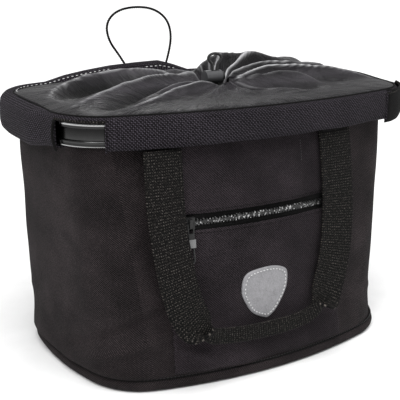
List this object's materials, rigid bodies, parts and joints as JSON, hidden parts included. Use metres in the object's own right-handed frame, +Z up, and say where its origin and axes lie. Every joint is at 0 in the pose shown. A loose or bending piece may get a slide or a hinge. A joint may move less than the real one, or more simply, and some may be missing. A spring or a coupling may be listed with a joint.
{
  "type": "handlebar basket",
  "caption": "Soft woven handlebar basket with an oval metal rim, a drawstring cover, a zipped front pocket, webbing handles and a quick-release adapter.",
  "frame": {"origin": "middle of the base, on the surface that the basket stands on", "axes": "+X to the basket's right along its width, -Y to its front, +Z up"},
  "size_m": [0.362, 0.3017, 0.3024],
  "materials": {
    "aluminium_frame": "satin anodised",
    "bright_steel": "zinc plated",
    "rim_fabric": "coarse woven polyester",
    "body_fabric": "woven polyester",
    "base_fabric": "woven polyester",
    "grey_board": "matte sheet",
    "coated_nylon": "shiny coated nylon",
    "braided_cord": "braided",
    "grey_plastic": "satin",
    "black_plastic": "fine texture",
    "zip_tape": "woven tape",
    "zip_teeth": "moulded",
    "dark_metal": "black enamel",
    "reflective": "reflective sheet",
    "webbing": "ribbed webbing",
    "coated_cable": "plastic coated steel wire"
  },
  "bodies": {
    "basket": {"back_plate": "black_plastic", "back_plate_nuts": "bright_steel", "back_plate_screws": "bright_steel", "back_stiffener": "grey_board", "base_board": "grey_board", "base_edge": "base_fabric", "base_panel": "base_fabric", "body_wall": "body_fabric", "drawstring_cord": "braided_cord", "drawstring_cover": "coated_nylon", "frame_joint_plate": "bright_steel", "frame_rivets": "bright_steel", "front_handle_anchors": "webbing", "pocket_panel_lower": "body_fabric", "pocket_panel_upper": "body_fabric", "rear_handle_anchors": "webbing", "reflective_patch": "reflective", "rim_frame": "aluminium_frame", "rim_sleeve_front": "rim_fabric", "rim_sleeve_left": "rim_fabric", "rim_sleeve_rear": "rim_fabric", "rim_sleeve_right": "rim_fabric", "zipper_stops": "zip_teeth", "zipper_tape_lower": "zip_tape", "zipper_tape_upper": "zip_tape", "zipper_teeth_lower": "zip_teeth", "zipper_teeth_upper": "zip_teeth"},
    "front_handle_body": {"front_handle": "webbing"},
    "rear_handle_body": {"rear_handle": "webbing"},
    "slider": {"zipper_slider": "dark_metal"},
    "pull": {"zipper_pull": "dark_metal", "pull_tab": "grey_plastic", "pull_loop": "braided_cord"},
    "cord_lock": {"cord_lock_body": "grey_plastic", "cord_lock_spring": "bright_steel"},
    "lock_button": {"cord_lock_button": "black_plastic"},
    "adapter": {"adapter_housing": "black_plastic", "clamp_cap_left": "black_plastic", "clamp_cap_right": "black_plastic", "clamp_screws": "bright_steel", "cable_set_screws": "bright_steel", "button_spring": "bright_steel", "safety_cable": "coated_cable"},
    "release": {"release_button": "grey_plastic"}
  },
  "joints": [
    {"name": "front_handle_swing", "type": "hinge", "parent": "basket", "child": "front_handle_body", "pos_m": [-0.0141, -0.1035, 0.2065], "axis": [-1, 0, 0], "range_deg": [0, 164]},
    {"name": "rear_handle_swing", "type": "hinge", "parent": "basket", "child": "rear_handle_body", "pos_m": [0, 0.1035, 0.2065], "axis": [1, 0, 0], "range_deg": [0, 168]},
    {"name": "zip_travel", "type": "hinge", "parent": "basket", "child": "slider", "pos_m": [0, 0.3982, 0.143], "axis": [0, 0, 1], "range_deg": [0, 14.4]},
    {"name": "pull_swing", "type": "hinge", "parent": "slider", "child": "pull", "pos_m": [-0.07941, -0.10457, 0.1425], "axis": [-0.9878, 0.156, 0], "range_deg": [0, 150]},
    {"name": "cord_lock_slide", "type": "slide", "parent": "basket", "child": "cord_lock", "axis": [0, 0, 1], "range_m": [0, 0.004]},
    {"name": "cord_lock_press", "type": "slide", "parent": "cord_lock", "child": "lock_button", "axis": [-1, 0, 0], "range_m": [0, 0.0034], "stiffness_N_per_m": 400, "springref_m": -0.002, "deforming": ["cord_lock_spring"]},
    {"name": "adapter_release", "type": "slide", "parent": "basket", "child": "adapter", "axis": [0, 0, -1], "range_m": [0, 0.05]},
    {"name": "release_press", "type": "slide", "parent": "adapter", "child": "release", "axis": [0, 0, -1], "range_m": [0, 0.005], "stiffness_N_per_m": 500, "springref_m": -0.002, "deforming": ["button_spring"]}
  ]
}
